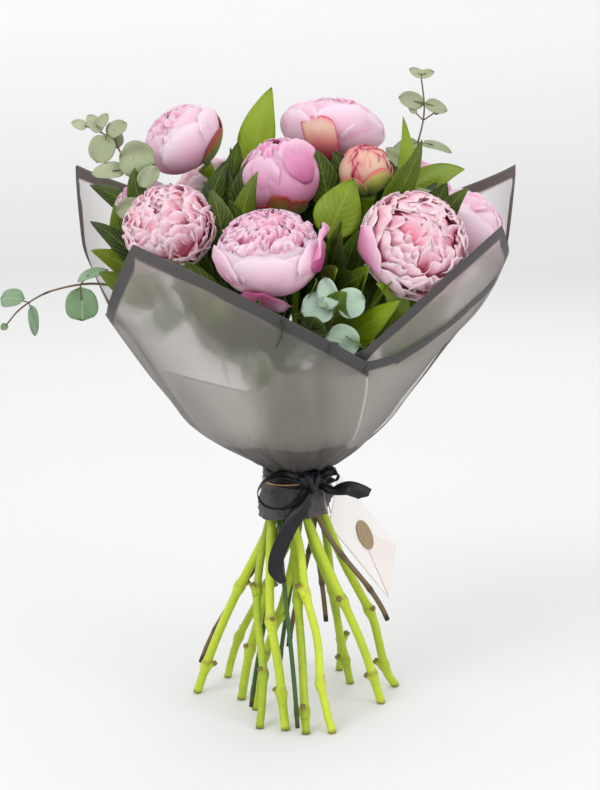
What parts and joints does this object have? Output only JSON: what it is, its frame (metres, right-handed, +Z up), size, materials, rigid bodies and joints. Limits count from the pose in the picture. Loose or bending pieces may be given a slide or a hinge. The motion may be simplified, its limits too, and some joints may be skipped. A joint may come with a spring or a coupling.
{
  "type": "bunch of peonies",
  "caption": "Hand-tied bunch of pink peonies with eucalyptus and leaves in frosted grey film, tied with black satin ribbon, standing on its spiral of cut stems.",
  "frame": {"origin": "on the surface under the cut stem ends, centred under the bunch's bounding box", "axes": "+Z up along the bunch from the cut stem ends to the blooms; -Y faces the front, where the film's two front sheets cross and the ribbon is tied; +X to the right as seen from the front"},
  "size_m": [0.4436, 0.313, 0.5544],
  "materials": {
    "petal": "soft satin petal, pale pink, darker in the folds",
    "stem": "fresh yellow-green stem, slightly waxy",
    "sprig": "matt grey-green eucalyptus",
    "foliage_stem": "dark green stem",
    "leaf": "glossy peony leaf",
    "twine": "natural fibre twine",
    "film": "translucent frosted grey film with a dark printed border",
    "ribbon": "black satin",
    "string": "thin orange-brown thread",
    "card": "matt off-white paper",
    "seal": "plain bronze foil sticker"
  },
  "bodies": {
    "root": {"stem_bloom_ball": "stem", "bloom_ball": "petal", "stem_bloom_open_left": "stem", "bloom_open_left": "petal", "stem_bloom_cup": "stem", "bloom_cup": "petal", "stem_bloom_opening": "stem", "bloom_opening": "petal", "stem_bloom_pale_top": "stem", "bloom_pale_top": "petal", "stem_bloom_bud": "stem", "bloom_bud": "petal", "stem_bloom_open_right": "stem", "bloom_open_right": "petal", "stem_bloom_right_back": "stem", "bloom_right_back": "petal", "stem_bloom_left_side": "stem", "bloom_left_side": "petal", "stem_bloom_back_left": "stem", "bloom_back_left": "petal", "stem_bloom_back_mid": "stem", "bloom_back_mid": "petal", "stem_bloom_back_right": "stem", "bloom_back_right": "petal", "sprig_top_left": "sprig", "sprig_top_right": "sprig", "sprig_trailing": "sprig", "sprig_front": "sprig", "foliage_back": "foliage_stem", "foliage_front": "foliage_stem", "foliage_right": "foliage_stem", "petal_cup_hanging": "petal", "petal_cup_right": "petal", "petal_opening": "petal", "petal_open_right": "petal", "leaf_top": "leaf", "leaf_left": "leaf", "leaf_centre": "leaf", "leaf_shade": "leaf", "leaf_right_tall": "leaf", "leaf_right_bent": "leaf", "leaf_right_back": "leaf", "leaf_right_low": "leaf", "leaf_low_right": "leaf", "leaf_low_left": "leaf", "twine": "twine", "wrap_back": "film", "wrap_right": "film", "wrap_left": "film", "ribbon_band": "ribbon", "ribbon_knot": "ribbon", "ribbon_loop_left": "ribbon", "ribbon_loop_right": "ribbon", "ribbon_tail_right": "ribbon", "ribbon_tail_long": "ribbon", "envelope": "card", "seal": "seal", "tag_string": "string"}
  },
  "joints": []
}
